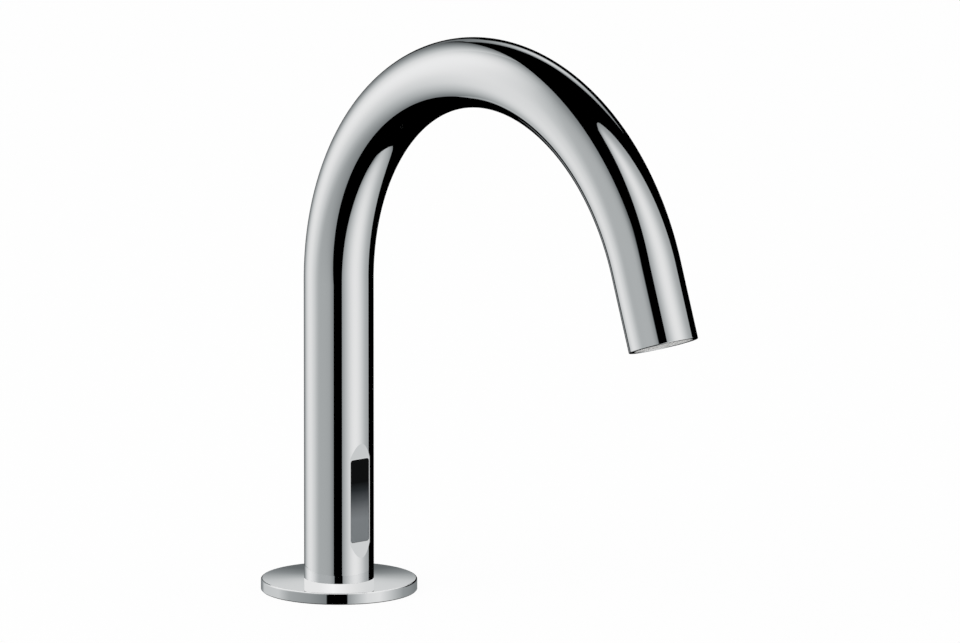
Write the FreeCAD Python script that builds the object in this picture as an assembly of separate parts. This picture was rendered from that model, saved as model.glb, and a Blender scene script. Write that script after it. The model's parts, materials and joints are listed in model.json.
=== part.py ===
"""Deck-mounted sensor tap, in millimetres.

A round tube rises from a thin disc on the deck, bends over in one large arc and ends in a short straight tip
with the water outlet. Low on the front of the column a flat is milled into the tube and holds a dark window,
behind which an infra-red sensor looks out the way the spout points. A hollow threaded shank under the disc
passes through the tap hole and is clamped from below by two washers and a nut.

Frame: origin on the deck at the column's axis, +Z up, +X the way the spout and the sensor window face.
"""

import FreeCAD
import Part

import math
import os

from FreeCAD import Placement, Rotation, Vector

# ---------------------------------------------------------------------------------------------------------
# Driving dimensions
# ---------------------------------------------------------------------------------------------------------

# Spout tube
tube_outer_d = 24.0
tube_wall = 1.5
column_height = 108.7  # deck to the start of the bend
bend_radius = 83.2  # on the tube's centreline
bend_angle = 160.3  # degrees from straight up to the tip's direction
tip_length = 27.2  # straight length after the bend
tip_edge_round = 0.3
thread_relief = 0.6  # bevel inside the column's lower end, where the shank screws in

# Milled flat on the front of the column
flat_foot_z = 12.8  # where the lower run-out starts on the tube
flat_runout = 5.1  # length of each sloped end
flat_half_width = 4.4
flat_margin = 0.4  # bare flat above and below the window

# Sensor window
window_width = 8.2
window_height = 29.0
window_corner = 1.0
window_recess = 0.1  # the pane sits this far behind the flat
pane_depth = 3.5  # flat to the back of the pane
pane_lip = 1.2  # how far the pane's rear flange reaches past the opening
pane_gap = 0.08  # around the pane in its opening
window_gasket_thickness = 0.4

# Sensor housing and board
housing_depth = 5.8
housing_wall = 1.2
housing_end_block = 3.7  # solid top and bottom ends that take the screws
board_thickness = 1.0
board_standoff = 0.3
optic_radius = 1.5
optic_collar_radius = 1.9
optic_collar_height = 0.6
optic_barrel_height = 0.9
optic_spacing = 16.0  # emitter to receiver
baffle_thickness = 1.0
status_lamp_size = 1.2
status_lamp_height = 0.7
processor_width = 4.9
processor_length = 3.2
amplifier_width = 3.3
amplifier_length = 2.7
small_chip_size = 1.2
chip_height = 0.9

# Carrier behind the housing, with its screws and leaf spring
carrier_web = 0.9
carrier_rise = 3.0  # carrier top above the housing
spigot_drop = 0.6  # spigot top below the housing
hose_channel_gap = 0.15
carrier_screw_radius = 0.8
carrier_screw_head_radius = 1.5
carrier_screw_head_height = 1.0
carrier_screw_grip = 3.2  # length in the carrier
carrier_screw_spread = 4.8  # from the middle to each side
leaf_thickness = 0.3
leaf_width = 4.0
leaf_length = 30.0

# Water hose
hose_outer_d = 8.0
hose_wall = 1.0
barb_length = 9.0
barb_bore_radius = 2.0
barb_relief = 0.35  # the neck behind each ridge is this much thinner
ferrule_wall = 0.6
ferrule_length = 6.0
ferrule_setback = 1.0  # from the hose's end

# Disc on the deck
disc_d = 53.8
disc_rim_height = 4.0
disc_rise = 0.25  # its top climbs this much from the rim to the column
disc_edge_round = 0.5
disc_foot_bevel = 0.3
disc_recess_depth = 2.0
gasket_thickness = 1.2
gasket_rim = 3.0  # of the disc outside the gasket
gasket_rib = 1.65  # of the disc between the shank's flange and the gasket
foot_ring_section = 1.0  # O-ring between disc, shank and tube

# Threaded shank
shank_d = 24.0
shank_length = 58.0  # below the deck
shank_bore_d = 17.6
shank_flange_d = 29.6
shank_flange_thickness = 1.6
shank_end_bevel = 1.0
plug_seat_depth = 16.0  # counterbore at the lower end
plug_seat_d = 18.6

# Clamp under the deck
deck_thickness = 20.0  # as drawn; the nut sets it from 3.5 to 41
soft_washer_d = 45.0
soft_washer_thickness = 3.0
steel_washer_d = 44.0
steel_washer_thickness = 2.0
washer_gap = 0.3  # radial, around the shank
nut_flats = 36.0
nut_height = 8.0
nut_corner_angle = 30.0  # degrees, of the cone that turns the corners down
thread_gap = 0.05  # radial, between every pair of mating threads

# Tail plug with the water inlet and the lead's gland
plug_disc_height = 12.5
inlet_boss_radius = 4.8
inlet_boss_drop = 4.5  # below the plug's disc
inlet_port_radius = 3.45
inlet_port_depth = 9.0
inlet_port_bevel = 0.4
circlip_thickness = 1.0
circlip_groove_depth = 0.6
circlip_width = 0.9  # inwards from the counterbore
circlip_gap = 3.0
circlip_lug_radius = 1.2
circlip_eye_radius = 0.6
grommet_hole_radius = 2.2
grommet_flange_radius = 2.9
grommet_flange_height = 1.0
grommet_flange_bevel = 0.6

# Sensor lead
lead_d = 3.0
lead_boot_radius = 2.3
lead_boot_length = 5.0
lead_boot_wall = 0.5  # at its lower end
lead_bow = 2.2  # sideways slack between housing and gland

# Outlet, measured inwards from the tip's end
insert_recess = 2.1
insert_shoulder_radius = 7.0
insert_chamber_depth = 3.6
insert_end_wall = 1.6
insert_ring_section = 1.2
aerator_thread_d = 18.5
aerator_recess = 0.35
aerator_flange_thickness = 1.4
aerator_flange_gap = 0.5
aerator_barrel_length = 6.6
aerator_wall = 1.15
key_notches = 8
key_notch_width = 2.0
key_notch_depth = 0.9
grid_thickness = 1.8
grid_cell = 1.5  # across the flats of one opening
grid_web = 0.35
mesh_thickness = 0.3
mesh_layers = 2
mesh_spacing = 0.35
mesh_opening = 1.1
mesh_bar = 0.5
jet_plate_thickness = 0.8
jet_slots = 18
jet_slot_width = 0.5
jet_slot_length = 1.5
jet_slot_margin = 1.5  # plate outside the slots
regulator_thickness = 1.6
regulator_floor = 0.4
regulator_rim_wall = 1.15
regulator_lobes = 8
regulator_lobe_height = 0.45
regulator_slot_width = 1.0
regulator_ring_section = 1.3
regulator_ring_play = 0.5  # on each side of the ring
strainer_height = 2.6
strainer_crown_radius = 4.4
strainer_wall = 0.5
strainer_slots = 16
strainer_slot_width = 0.6
aerator_seal_thickness = 0.9

# Clearances
slip = 0.05  # between pieces that slide together
seat_gap = 0.1  # between stacked pieces that must not bear on each other
inner_gap = 0.2  # between what is inside the column and the tube's wall

# ---------------------------------------------------------------------------------------------------------
# Places worked out from them
# ---------------------------------------------------------------------------------------------------------

tube_outer_r = tube_outer_d / 2
tube_inner_r = tube_outer_r - tube_wall
hose_outer_r = hose_outer_d / 2
hose_inner_r = hose_outer_r - hose_wall
shank_r = shank_d / 2
flange_r = shank_flange_d / 2
shank_bore_r = shank_bore_d / 2
plug_seat_r = plug_seat_d / 2
thread_r = aerator_thread_d / 2

# Heights at the foot
tube_foot_z = disc_rim_height + disc_rise
gasket_outer_r = disc_d / 2 - gasket_rim
gasket_inner_r = flange_r + slip + gasket_rib
window_z = flat_foot_z + flat_runout + flat_margin + window_height / 2

# Planes across the column, from the window at the front to the spring at the back
flat_x = math.sqrt(tube_outer_r**2 - flat_half_width**2)
pane_front_x = flat_x - window_recess
pane_back_x = flat_x - pane_depth
housing_front_x = pane_back_x - seat_gap
housing_back_x = housing_front_x - housing_depth
carrier_front_x = housing_back_x - slip
hose_channel_r = hose_outer_r + hose_channel_gap
hose_x = carrier_front_x - carrier_web - hose_channel_r
carrier_back_x = hose_x - hose_channel_r - carrier_web
board_back_x = housing_back_x + housing_wall + board_standoff
board_front_x = board_back_x + board_thickness

pane_half_width = window_width / 2 + pane_lip
pane_half_height = window_height / 2 + pane_lip + flat_margin
housing_half_height = window_height / 2 + housing_end_block + slip
housing_foot_z = window_z - housing_half_height
housing_half_width = math.sqrt((tube_inner_r - inner_gap) ** 2 - housing_front_x**2)
spigot_top_z = housing_foot_z - spigot_drop
spigot_r = tube_inner_r - thread_gap

# Shank, from its flange down
flange_top_z = disc_recess_depth - slip
flange_foot_z = flange_top_z - shank_flange_thickness
shank_foot_z = -shank_length
plug_top_z = shank_foot_z + plug_seat_depth
plug_foot_z = plug_top_z - plug_disc_height
inlet_mouth_z = plug_foot_z - inlet_boss_drop
barb_top_z = plug_top_z + barb_length
hose_foot_z = plug_top_z + seat_gap
lead_x = (hose_x + inlet_boss_radius + plug_seat_r - circlip_width) / 2

# Clamp
steel_washer_top = -deck_thickness - soft_washer_thickness
nut_top = steel_washer_top - steel_washer_thickness

# Direction of the tip, and the centre of its end
bend = math.radians(bend_angle)
tip_direction = Vector(math.sin(bend), 0, math.cos(bend))
bend_centre = Vector(bend_radius, 0, column_height)
bend_end = bend_centre + Vector(-bend_radius * math.cos(bend), 0, bend_radius * math.sin(bend))
tip_end = bend_end + tip_direction * tip_length

# Outlet, as depths inwards from the tip's end
barrel_front = aerator_recess + aerator_flange_thickness
barrel_end = barrel_front + aerator_barrel_length
seal_front = barrel_end + slip
seal_end = seal_front + aerator_seal_thickness
insert_shoulder = seal_end + slip
insert_chamber_end = insert_shoulder + insert_chamber_depth
insert_end = insert_chamber_end + insert_end_wall
aerator_bore_r = thread_r - aerator_wall
aerator_flange_r = tube_inner_r - aerator_flange_gap

# ---------------------------------------------------------------------------------------------------------
# Helpers
# ---------------------------------------------------------------------------------------------------------

UP = Vector(0, 0, 1)
FORWARD = Vector(1, 0, 0)


def cylinder(radius, low, high, x=0.0, y=0.0):
    """An upright cylinder between two heights."""
    return Part.makeCylinder(radius, high - low, Vector(x, y, low))


def ring(outer, inner, low, high, x=0.0):
    """An upright tube between two heights."""
    return cylinder(outer, low, high, x).cut(cylinder(inner, low, high, x))


def block(x0, x1, half_width, low, high):
    """A box that is centred across the object."""
    return Part.makeBox(x1 - x0, 2 * half_width, high - low, Vector(x0, -half_width, low))


def turned(points, x=0.0):
    """A solid turned about an upright axis from its (radius, height) outline."""
    corners = [Vector(x + r, 0, z) for r, z in points]
    face = Part.Face(Part.makePolygon(corners + corners[:1]))
    return face.revolve(Vector(x, 0, 0), UP, 360)


def torus(centre_radius, section_d, z, x=0.0):
    """An O-ring."""
    return Part.makeTorus(centre_radius, section_d / 2, Vector(x, 0, z), UP)


def window_prism(half_width, half_height, corner, x0, x1):
    """An upright rounded rectangle, centred on the window and extruded forwards."""
    slab = block(x0, x1, half_width, window_z - half_height, window_z + half_height)
    return slab.makeFillet(corner, [e for e in slab.Edges if e.BoundBox.XLength > slip])


def polygon_prism(points, low, high):
    """A prism over a closed flat outline of (x, y) points."""
    corners = [Vector(x, y, low) for x, y in points]
    return Part.Face(Part.makePolygon(corners + corners[:1])).extrude(Vector(0, 0, high - low))


def hexagon(across_flats, x=0.0, y=0.0, turn=0.0):
    """The corners of a regular hexagon."""
    r = across_flats / math.sqrt(3)
    angles = [math.radians(60 * k + turn) for k in range(6)]
    return [(x + r * math.cos(a), y + r * math.sin(a)) for a in angles]


def perforated(radius, low, high, openings):
    """A disc with straight-sided openings, each given by its corners."""
    edge = Part.Wire(Part.Circle(Vector(0, 0, low), UP, radius).toShape())
    holes = []
    for points in openings:
        corners = [Vector(x, y, low) for x, y in points]
        holes.append(Part.makePolygon(corners + corners[:1]))
    face = Part.makeFace([edge] + holes, "Part::FaceMakerBullseye")
    return face.extrude(Vector(0, 0, high - low))


def square_openings(radius, opening, pitch):
    """Corners of the square openings of a mesh that fit inside a radius."""
    half, count = opening / 2, int(radius / pitch) + 1
    found = []
    for i in range(-count, count + 1):
        for j in range(-count, count + 1):
            x, y = i * pitch, j * pitch
            if math.hypot(abs(x) + half, abs(y) + half) < radius:
                found.append([(x + u * half, y + v * half) for u, v in ((-1, -1), (1, -1), (1, 1), (-1, 1))])
    return found


def around(shape, count, first=0.0):
    """Copies of a shape turned evenly about the upright axis."""
    copies = []
    for k in range(count):
        copy = shape.copy()
        copy.rotate(Vector(0, 0, 0), UP, first + 360.0 * k / count)
        copies.append(copy)
    return copies


def bent_bar(radius, x, low, bend_z, turn_radius, end_length):
    """A round bar that runs up at x, turns over in one arc like the spout and ends in a straight."""
    start = Vector(x, 0, bend_z)
    centre = Vector(x + turn_radius, 0, bend_z)
    section = Part.Face(Part.Wire(Part.Circle(start, UP, radius).toShape()))
    arc = section.revolve(centre, Vector(0, 1, 0), bend_angle)
    arc_end = centre + Vector(-turn_radius * math.cos(bend), 0, turn_radius * math.sin(bend))
    parts = [arc, cylinder(radius, low, bend_z, x)]
    parts.append(Part.makeCylinder(radius, end_length, arc_end, tip_direction))
    return parts[0].fuse(parts[1:]).removeSplitter()


def at_tip(shape):
    """Moves a shape drawn about the upright axis, with z as depth, to the outlet."""
    placed = shape.copy()
    at_end = Placement(tip_end, Rotation(Vector(0, 1, 0), bend_angle - 180))
    placed.Placement = at_end.multiply(placed.Placement)
    return placed


def save(name, *solids):
    """Writes one sub-part."""
    shape = solids[0] if len(solids) == 1 else Part.makeCompound(list(solids))
    shape.exportStep("parts/" + name + ".step")


# ---------------------------------------------------------------------------------------------------------
# Spout and disc
# ---------------------------------------------------------------------------------------------------------


def milled_flat():
    """The cutter's path in the column: a flat with a sloped run-out at each end."""
    reach = tube_wall
    slope = flat_runout / (tube_outer_r - flat_x)
    low, high = flat_foot_z + flat_runout, window_z + window_height / 2 + flat_margin
    far_x = tube_outer_r + reach
    spread = slope * (far_x - flat_x)
    side = [(flat_x, low), (flat_x, high), (far_x, high + spread), (far_x, low - spread)]
    corners = [Vector(x, -tube_outer_r, z) for x, z in side]
    face = Part.Face(Part.makePolygon(corners + corners[:1]))
    return face.extrude(Vector(0, 2 * tube_outer_r, 0))


def spout_tube():
    """The bent tube with the milled flat and the window opening."""
    outer = bent_bar(tube_outer_r, 0, tube_foot_z, column_height, bend_radius, tip_length)
    rims = [e for e in outer.Edges if (e.CenterOfMass - tip_end).Length < slip and e.Length > tube_outer_r]
    outer = outer.makeFillet(tip_edge_round, rims)
    inner = bent_bar(tube_inner_r, 0, tube_foot_z, column_height, bend_radius, tip_length)
    foot = Vector(0, 0, tube_foot_z)
    bevel = Part.makeCone(tube_inner_r + thread_relief, tube_inner_r, thread_relief, foot, UP)
    opening = window_prism(window_width / 2, window_height / 2, window_corner, 0, tube_outer_r)
    return outer.cut([inner, bevel, milled_flat(), opening])


def deck_disc():
    """The round plate on the deck, recessed below for the shank's flange and the gasket."""
    bore = spigot_r + slip
    ring_seat = bore + foot_ring_section + slip
    flange_seat = flange_r + slip
    outer_r = disc_d / 2
    slope = math.atan2(disc_rise, outer_r - ring_seat)
    round_centre = Vector(outer_r - disc_edge_round, 0, disc_rim_height - disc_edge_round)
    turns = (slope, math.pi / 4, math.pi / 2)
    start, middle, end = [round_centre + Vector(math.sin(a), 0, math.cos(a)) * disc_edge_round for a in turns]
    path = [
        Vector(outer_r, 0, disc_foot_bevel),
        Vector(outer_r - disc_foot_bevel, 0, 0),
        Vector(gasket_outer_r + slip, 0, 0),
        Vector(gasket_outer_r + slip, 0, gasket_thickness),
        Vector(gasket_inner_r - slip, 0, gasket_thickness),
        Vector(gasket_inner_r - slip, 0, 0),
        Vector(flange_seat, 0, 0),
        Vector(flange_seat, 0, disc_recess_depth),
        Vector(bore, 0, disc_recess_depth),
        Vector(bore, 0, tube_foot_z - foot_ring_section),
        Vector(ring_seat, 0, tube_foot_z - foot_ring_section),
        Vector(ring_seat, 0, tube_foot_z),
        start,
    ]
    edges = [Part.Arc(start, middle, end).toShape(), Part.makeLine(end, path[0])]
    edges += [Part.makeLine(a, b) for a, b in zip(path, path[1:])]
    return Part.Face(Part.Wire(edges)).revolve(Vector(0, 0, 0), UP, 360)


def base_gasket():
    """Rubber ring that seals the disc to the deck."""
    return ring(gasket_outer_r, gasket_inner_r, 0, gasket_thickness)


def foot_o_ring():
    """O-ring in the disc, round the shank and under the tube."""
    half = foot_ring_section / 2
    return torus(spigot_r + slip / 2 + half, foot_ring_section - slip, tube_foot_z - half)


# ---------------------------------------------------------------------------------------------------------
# Shank and clamp
# ---------------------------------------------------------------------------------------------------------


def mounting_shank():
    """Hollow shank: a spigot that screws into the tube, a flange under the disc and the clamping thread."""
    groove_low = plug_foot_z - circlip_thickness - slip
    groove_r = plug_seat_r + circlip_groove_depth
    return turned(
        [
            (shank_bore_r, spigot_top_z),
            (spigot_r - thread_relief, spigot_top_z),
            (spigot_r, spigot_top_z - thread_relief),
            (spigot_r, flange_top_z),
            (flange_r, flange_top_z),
            (flange_r, flange_foot_z),
            (shank_r, flange_foot_z),
            (shank_r, shank_foot_z + shank_end_bevel),
            (shank_r - shank_end_bevel, shank_foot_z),
            (plug_seat_r, shank_foot_z),
            (plug_seat_r, groove_low),
            (groove_r, groove_low),
            (groove_r, plug_foot_z),
            (plug_seat_r, plug_foot_z),
            (plug_seat_r, plug_top_z),
            (shank_bore_r, plug_top_z),
        ]
    )


def soft_washer():
    """Rubber washer that bears on the underside of the deck."""
    return ring(soft_washer_d / 2, shank_r + washer_gap, steel_washer_top, -deck_thickness)


def steel_washer():
    """Steel washer that spreads the nut's load."""
    return ring(steel_washer_d / 2, shank_r + washer_gap, nut_top, steel_washer_top)


def back_nut():
    """Hexagon nut with turned-down corners on both faces."""
    top, foot = nut_top, nut_top - nut_height
    body = polygon_prism(hexagon(nut_flats), foot, top)
    corner_r = nut_flats / math.sqrt(3)
    drop = (corner_r - nut_flats / 2) * math.tan(math.radians(nut_corner_angle))
    blank = turned(
        [
            (0, foot),
            (nut_flats / 2, foot),
            (corner_r, foot + drop),
            (corner_r, top - drop),
            (nut_flats / 2, top),
            (0, top),
        ]
    )
    bore_r = shank_r + thread_gap
    return body.common(blank).cut(cylinder(bore_r, foot, top))


# ---------------------------------------------------------------------------------------------------------
# Tail plug
# ---------------------------------------------------------------------------------------------------------

def barbed(low, neck_r):
    """A hose barb's outline from its foot: two ridges a little wider than the neck between them."""
    pitch = barb_length / 3
    outline = []
    for k in range(3):
        foot = low + k * pitch
        outline += [(hose_inner_r, foot), (neck_r, foot + pitch)]
    return outline


def tail_plug():
    """Brass plug in the shank's end: water inlet and hose barb on one axis, the lead's hole beside them."""
    disc = cylinder(plug_seat_r - slip, plug_foot_z, plug_top_z)
    boss = cylinder(inlet_boss_radius, inlet_mouth_z, plug_foot_z, hose_x)
    outline = barbed(plug_top_z, hose_inner_r - barb_relief)
    barb = turned([(0, plug_top_z)] + outline + [(0, barb_top_z)], hose_x)
    port_top = inlet_mouth_z + inlet_port_depth
    bore = turned(
        [
            (0, inlet_mouth_z),
            (inlet_port_radius + inlet_port_bevel, inlet_mouth_z),
            (inlet_port_radius, inlet_mouth_z + inlet_port_bevel),
            (inlet_port_radius, port_top),
            (barb_bore_radius, port_top + inlet_port_radius - barb_bore_radius),
            (barb_bore_radius, barb_top_z),
            (0, barb_top_z),
        ],
        hose_x,
    )
    lead_hole = cylinder(grommet_hole_radius, plug_foot_z, plug_top_z, lead_x)
    return disc.fuse([boss, barb]).cut([bore, lead_hole])


def tail_circlip():
    """Internal retaining ring under the plug, open at one side between two eyed lugs."""
    high = plug_foot_z - slip / 2
    low = high - circlip_thickness
    outer = plug_seat_r + circlip_groove_depth - slip
    inner = plug_seat_r - circlip_width
    band = ring(outer, inner, low, high)
    lugs, eyes = [], []
    for side in (-1, 1):
        x = side * (circlip_gap / 2 + circlip_lug_radius)
        y = -math.sqrt(inner**2 - x**2)
        lugs.append(cylinder(circlip_lug_radius, low, high, x, y))
        eyes.append(cylinder(circlip_eye_radius, low, high, x, y))
    gap = Part.makeBox(circlip_gap, outer, high - low, Vector(-circlip_gap / 2, -outer, low))
    return band.fuse(lugs).cut([gap] + eyes)


def lead_grommet():
    """Rubber gland for the sensor's lead, with a flange on each face of the plug."""
    r = grommet_hole_radius - slip / 2
    top = plug_top_z + grommet_flange_height
    foot = plug_foot_z - grommet_flange_height
    bore = lead_d / 2
    return turned(
        [
            (bore, foot),
            (grommet_flange_radius - grommet_flange_bevel, foot),
            (grommet_flange_radius, plug_foot_z - slip),
            (r, plug_foot_z - slip),
            (r, plug_top_z + slip),
            (grommet_flange_radius, plug_top_z + slip),
            (grommet_flange_radius - grommet_flange_bevel, top),
            (bore, top),
        ],
        lead_x,
    )


# ---------------------------------------------------------------------------------------------------------
# Water hose
# ---------------------------------------------------------------------------------------------------------

hose_end_depth = insert_end + seat_gap  # where the hose stops, inwards from the tip's end
hose_straight = insert_end + barb_length  # the hose is straight over its upper barb


def hose_bend():
    """Radius and starting height of the arc that joins the hose's two straights."""
    reach = (bend_end.x - hose_x) / tip_direction.x
    meeting_z = bend_end.z - tip_direction.z * reach
    tangent = reach + tip_length - hose_straight
    return tangent / math.tan(bend / 2), meeting_z - tangent


def hose_bar(radius):
    """The hose's route as a bar of the given radius."""
    turn_radius, bend_z = hose_bend()
    return bent_bar(radius, hose_x, hose_foot_z, bend_z, turn_radius, hose_straight - hose_end_depth)


def water_hose():
    """Flexible hose inside the tube, from the tail plug to the outlet."""
    return hose_bar(hose_outer_r).cut(hose_bar(hose_inner_r))


def lower_ferrule():
    """Crimped sleeve on the hose over the tail plug's barb."""
    low = hose_foot_z + ferrule_setback
    return ring(hose_outer_r + ferrule_wall, hose_outer_r, low, low + ferrule_length, hose_x)


def upper_ferrule():
    """Crimped sleeve on the hose over the outlet insert's barb."""
    low = hose_end_depth + ferrule_setback
    return at_tip(ring(hose_outer_r + ferrule_wall, hose_outer_r, low, low + ferrule_length))


# ---------------------------------------------------------------------------------------------------------
# Sensor
# ---------------------------------------------------------------------------------------------------------


def sensor_window():
    """Dark pane with a rear flange that bears on the gasket inside the tube."""
    half_width, half_height = window_width / 2 - pane_gap, window_height / 2 - pane_gap
    front = window_prism(half_width, half_height, window_corner - pane_gap, pane_back_x, pane_front_x)
    flange = window_prism(pane_half_width, pane_half_height, window_corner, pane_back_x, tube_outer_r)
    seat_r = tube_inner_r - window_gasket_thickness - slip
    flange = flange.common(cylinder(seat_r, window_z - housing_half_height, window_z + housing_half_height))
    return front.fuse(flange).removeSplitter()


def window_gasket():
    """Curved frame seal between the pane's flange and the tube's wall."""
    outer_r = tube_inner_r - slip / 2
    low, high = window_z - housing_half_height, window_z + housing_half_height
    shell = ring(outer_r, outer_r - window_gasket_thickness, low, high)
    frame = window_prism(pane_half_width, pane_half_height, window_corner, 0, tube_outer_r)
    opening = window_prism(window_width / 2, window_height / 2, window_corner, 0, tube_outer_r)
    return shell.common(frame).cut(opening)


def inside_column(shape, low, high):
    """The part of a shape that fits inside the tube."""
    return shape.common(cylinder(tube_inner_r - inner_gap, low, high))


def screw_places():
    """Where the four screws of the tray stand, as (y, z)."""
    offset_z = housing_half_height - housing_end_block / 2
    return [(y * carrier_screw_spread, window_z + z * offset_z) for y in (-1, 1) for z in (-1, 1)]


def sensor_housing():
    """Black tray, open to the pane, with a light baffle between the optics and a screw block at each end."""
    low, high = window_z - housing_half_height, window_z + housing_half_height
    outer = inside_column(block(housing_back_x, housing_front_x, housing_half_width, low, high), low, high)
    cavity = block(
        housing_back_x + housing_wall,
        housing_front_x,
        housing_half_width - housing_wall,
        low + housing_end_block,
        high - housing_end_block,
    )
    tray = outer.cut(cavity)
    baffle = block(
        board_front_x + seat_gap,
        housing_front_x,
        housing_half_width - housing_wall + slip,
        window_z - baffle_thickness / 2,
        window_z + baffle_thickness / 2,
    )
    lamp_hole = block(
        board_front_x,
        housing_front_x,
        status_lamp_size / 2 + seat_gap,
        window_z - baffle_thickness,
        window_z + baffle_thickness,
    )
    tray = tray.fuse(baffle.cut(lamp_hole))
    hole_r, sink_r = carrier_screw_radius + slip, carrier_screw_head_radius + slip
    sink = carrier_screw_head_height + slip
    holes = []
    for y, z in screw_places():
        holes.append(Part.makeCylinder(hole_r, housing_depth, Vector(housing_back_x, y, z), FORWARD))
        holes.append(Part.makeCylinder(sink_r, sink, Vector(housing_front_x - sink, y, z), FORWARD))
    lead_hole = cylinder(lead_boot_radius, low, low + housing_end_block, lead_x)
    return tray.cut(holes + [lead_hole])


board_half_width = housing_half_width - housing_wall - seat_gap
board_half_height = housing_half_height - housing_end_block - seat_gap


def sensor_board():
    """Circuit board in the tray."""
    low, high = window_z - board_half_height, window_z + board_half_height
    return block(board_back_x, board_front_x, board_half_width, low, high)


def optic(z):
    """A domed infra-red component that stands on the board and faces forwards."""
    base = board_front_x
    collar = Part.makeCylinder(optic_collar_radius, optic_collar_height, Vector(base, 0, z), FORWARD)
    barrel_length = optic_collar_height + optic_barrel_height
    barrel = Part.makeCylinder(optic_radius, barrel_length, Vector(base, 0, z), FORWARD)
    dome = Part.makeSphere(optic_radius, Vector(base + barrel_length, 0, z))
    return collar.fuse([barrel, dome]).removeSplitter()


def status_lamp():
    """Small lamp behind the pane that signals a low battery."""
    return block(
        board_front_x,
        board_front_x + status_lamp_height,
        status_lamp_size / 2,
        window_z - status_lamp_size / 2,
        window_z + status_lamp_size / 2,
    )


def board_chips():
    """The processor, an amplifier and a row of small parts on the board."""
    back, front = board_front_x, board_front_x + chip_height
    offset = optic_spacing / 4
    chips = []
    for z, width, length in (
        (window_z + offset, processor_width, processor_length),
        (window_z - offset, amplifier_width, amplifier_length),
    ):
        chips.append(block(back, front, width / 2, z - length / 2, z + length / 2))
    size = small_chip_size
    y_reach = board_half_width - seat_gap - size / 2
    z_reach = board_half_height - size
    for side in (-1, 1):
        for row in (-1, 1):
            corner = Vector(back, side * y_reach - size / 2, window_z + row * z_reach - size / 2)
            chips.append(Part.makeBox(chip_height, size, size, corner))
    return chips


def sensor_carrier():
    """Spine behind the tray that stands on the shank and guides the hose."""
    low = spigot_top_z + slip
    high = window_z + housing_half_height + carrier_rise
    body = inside_column(block(carrier_back_x, carrier_front_x, tube_inner_r, low, high), low, high)
    depth = carrier_screw_grip + slip
    holes = [
        Part.makeCylinder(carrier_screw_radius + slip, depth, Vector(carrier_front_x, y, z), -FORWARD)
        for y, z in screw_places()
    ]
    return body.cut([cylinder(hose_channel_r, low, high, hose_x)] + holes)


def carrier_screws():
    """Four screws through the tray's end blocks into the carrier."""
    screws = []
    head_back = housing_front_x - carrier_screw_head_height
    tip_x = carrier_front_x - carrier_screw_grip
    for y, z in screw_places():
        head_height = carrier_screw_head_height - slip
        head = Part.makeCylinder(carrier_screw_head_radius, head_height, Vector(head_back, y, z), FORWARD)
        stem = Part.makeCylinder(carrier_screw_radius, head_back - tip_x, Vector(tip_x, y, z), FORWARD)
        screws.append(head.fuse(stem).removeSplitter())
    return screws


def leaf_spring():
    """Bowed strip behind the carrier that pushes the sensor forwards into its window."""
    wall_x = -math.sqrt((tube_inner_r - slip) ** 2 - (leaf_width / 2) ** 2)
    ends_x = carrier_back_x - slip
    middle_z = window_z
    half = leaf_length / 2

    def strip_edge(x_ends, x_middle):
        return Part.Arc(
            Vector(x_ends, -leaf_width / 2, middle_z - half),
            Vector(x_middle, -leaf_width / 2, middle_z),
            Vector(x_ends, -leaf_width / 2, middle_z + half),
        ).toShape()

    front = strip_edge(ends_x, wall_x + leaf_thickness)
    back = strip_edge(ends_x - leaf_thickness, wall_x)
    foot = Part.makeLine(front.Vertexes[0].Point, back.Vertexes[0].Point)
    head = Part.makeLine(front.Vertexes[-1].Point, back.Vertexes[-1].Point)
    return Part.Face(Part.Wire([front, head, back, foot])).extrude(Vector(0, leaf_width, 0))


arc_share = 0.45  # of the shorter run beside a corner that its arc takes


def routed_bar(points, radius):
    """A round bar along straight runs that are joined by tangent arcs."""
    edges, at = [], points[0]
    for before, corner, after in zip(points, points[1:], points[2:]):
        into, out = (corner - before).normalize(), (after - corner).normalize()
        half_turn = into.getAngle(out) / 2
        trim = arc_share * min((corner - before).Length, (after - corner).Length)
        start, end = corner - into * trim, corner + out * trim
        inwards = (out - into).normalize()
        arc_radius = trim / math.tan(half_turn)
        centre = corner + inwards * (arc_radius / math.cos(half_turn))
        middle = centre - inwards * arc_radius
        print("lead bend radius", round(arc_radius, 1))
        edges.append(Part.makeLine(at, start))
        edges.append(Part.Arc(start, middle, end).toShape())
        at = end
    edges.append(Part.makeLine(at, points[-1]))
    path = Part.Wire(edges)
    section = Part.Wire(Part.Circle(points[0], points[1] - points[0], radius).toShape())
    bar = path.makePipeShell([section], True, False)
    print("lead volume over section times length", round(bar.Volume / (math.pi * radius**2 * path.Length), 4))
    return bar


def sensor_lead():
    """The lead inside the tap, from the tray down through the gland, with some slack to one side."""
    top = housing_foot_z + housing_end_block
    foot = plug_foot_z - grommet_flange_height
    free_top = housing_foot_z - lead_boot_length
    free_foot = plug_top_z + grommet_flange_height
    run = (free_top - free_foot) / 4
    points = [
        Vector(lead_x, 0, foot),
        Vector(lead_x, 0, free_foot + run / 2),
        Vector(lead_x, lead_bow, free_foot + 3 * run / 2),
        Vector(lead_x, lead_bow, free_top - 3 * run / 2),
        Vector(lead_x, 0, free_top - run / 2),
        Vector(lead_x, 0, top),
    ]
    return routed_bar(points, lead_d / 2 - slip / 2)


def lead_boot():
    """Rubber boot where the lead enters the tray."""
    top = housing_foot_z + housing_end_block - slip
    foot = housing_foot_z - lead_boot_length
    flare = lead_d / 2 + lead_boot_wall
    return turned(
        [
            (lead_d / 2, foot),
            (flare, foot),
            (lead_boot_radius - slip, housing_foot_z),
            (lead_boot_radius - slip, top),
            (lead_d / 2, top),
        ],
        lead_x,
    )


# ---------------------------------------------------------------------------------------------------------
# Outlet
# ---------------------------------------------------------------------------------------------------------


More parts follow.
